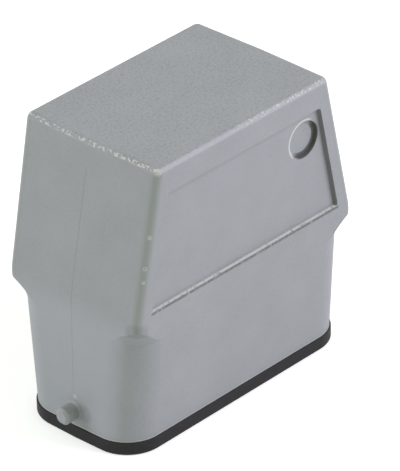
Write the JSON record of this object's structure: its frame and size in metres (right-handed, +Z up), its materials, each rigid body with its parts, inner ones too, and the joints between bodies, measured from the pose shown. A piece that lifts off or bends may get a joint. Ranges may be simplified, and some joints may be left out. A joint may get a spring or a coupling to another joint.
{
  "type": "heavy duty rectangular connector",
  "caption": "Painted die-cast hood of a heavy duty rectangular connector, high form with side cable entry, locking pegs, rim seal and male contact insert.",
  "frame": {"origin": "centre of the bounding box in plan, at the underside of the rim seal", "axes": "+X along the hood towards the cable entry, +Y across it, +Z up towards the closed top"},
  "size_m": [0.0708, 0.0356, 0.0639],
  "materials": {
    "hood": "fine textured powder coat",
    "seal": "matt black rubber",
    "insert": "light grey moulding",
    "contact": "silver plated, turned",
    "guard": "bright spring strip",
    "screw": "zinc plated",
    "bracket": "zinc plated sheet"
  },
  "bodies": {
    "root": {"clamp_screws": "screw", "contact_01": "contact", "contact_02": "contact", "contact_03": "contact", "contact_04": "contact", "contact_05": "contact", "contact_06": "contact", "contact_07": "contact", "contact_08": "contact", "contact_09": "contact", "contact_10": "contact", "earth_bracket_left": "bracket", "earth_bracket_right": "bracket", "earth_clamp_plate_left": "bracket", "earth_clamp_plate_right": "bracket", "earth_screws": "screw", "fixing_screws": "screw", "hood": "hood", "insert_body": "insert", "rim_seal": "seal", "wire_guard_01": "guard", "wire_guard_02": "guard", "wire_guard_03": "guard", "wire_guard_04": "guard", "wire_guard_05": "guard", "wire_guard_06": "guard", "wire_guard_07": "guard", "wire_guard_08": "guard", "wire_guard_09": "guard", "wire_guard_10": "guard"}
  },
  "joints": []
}
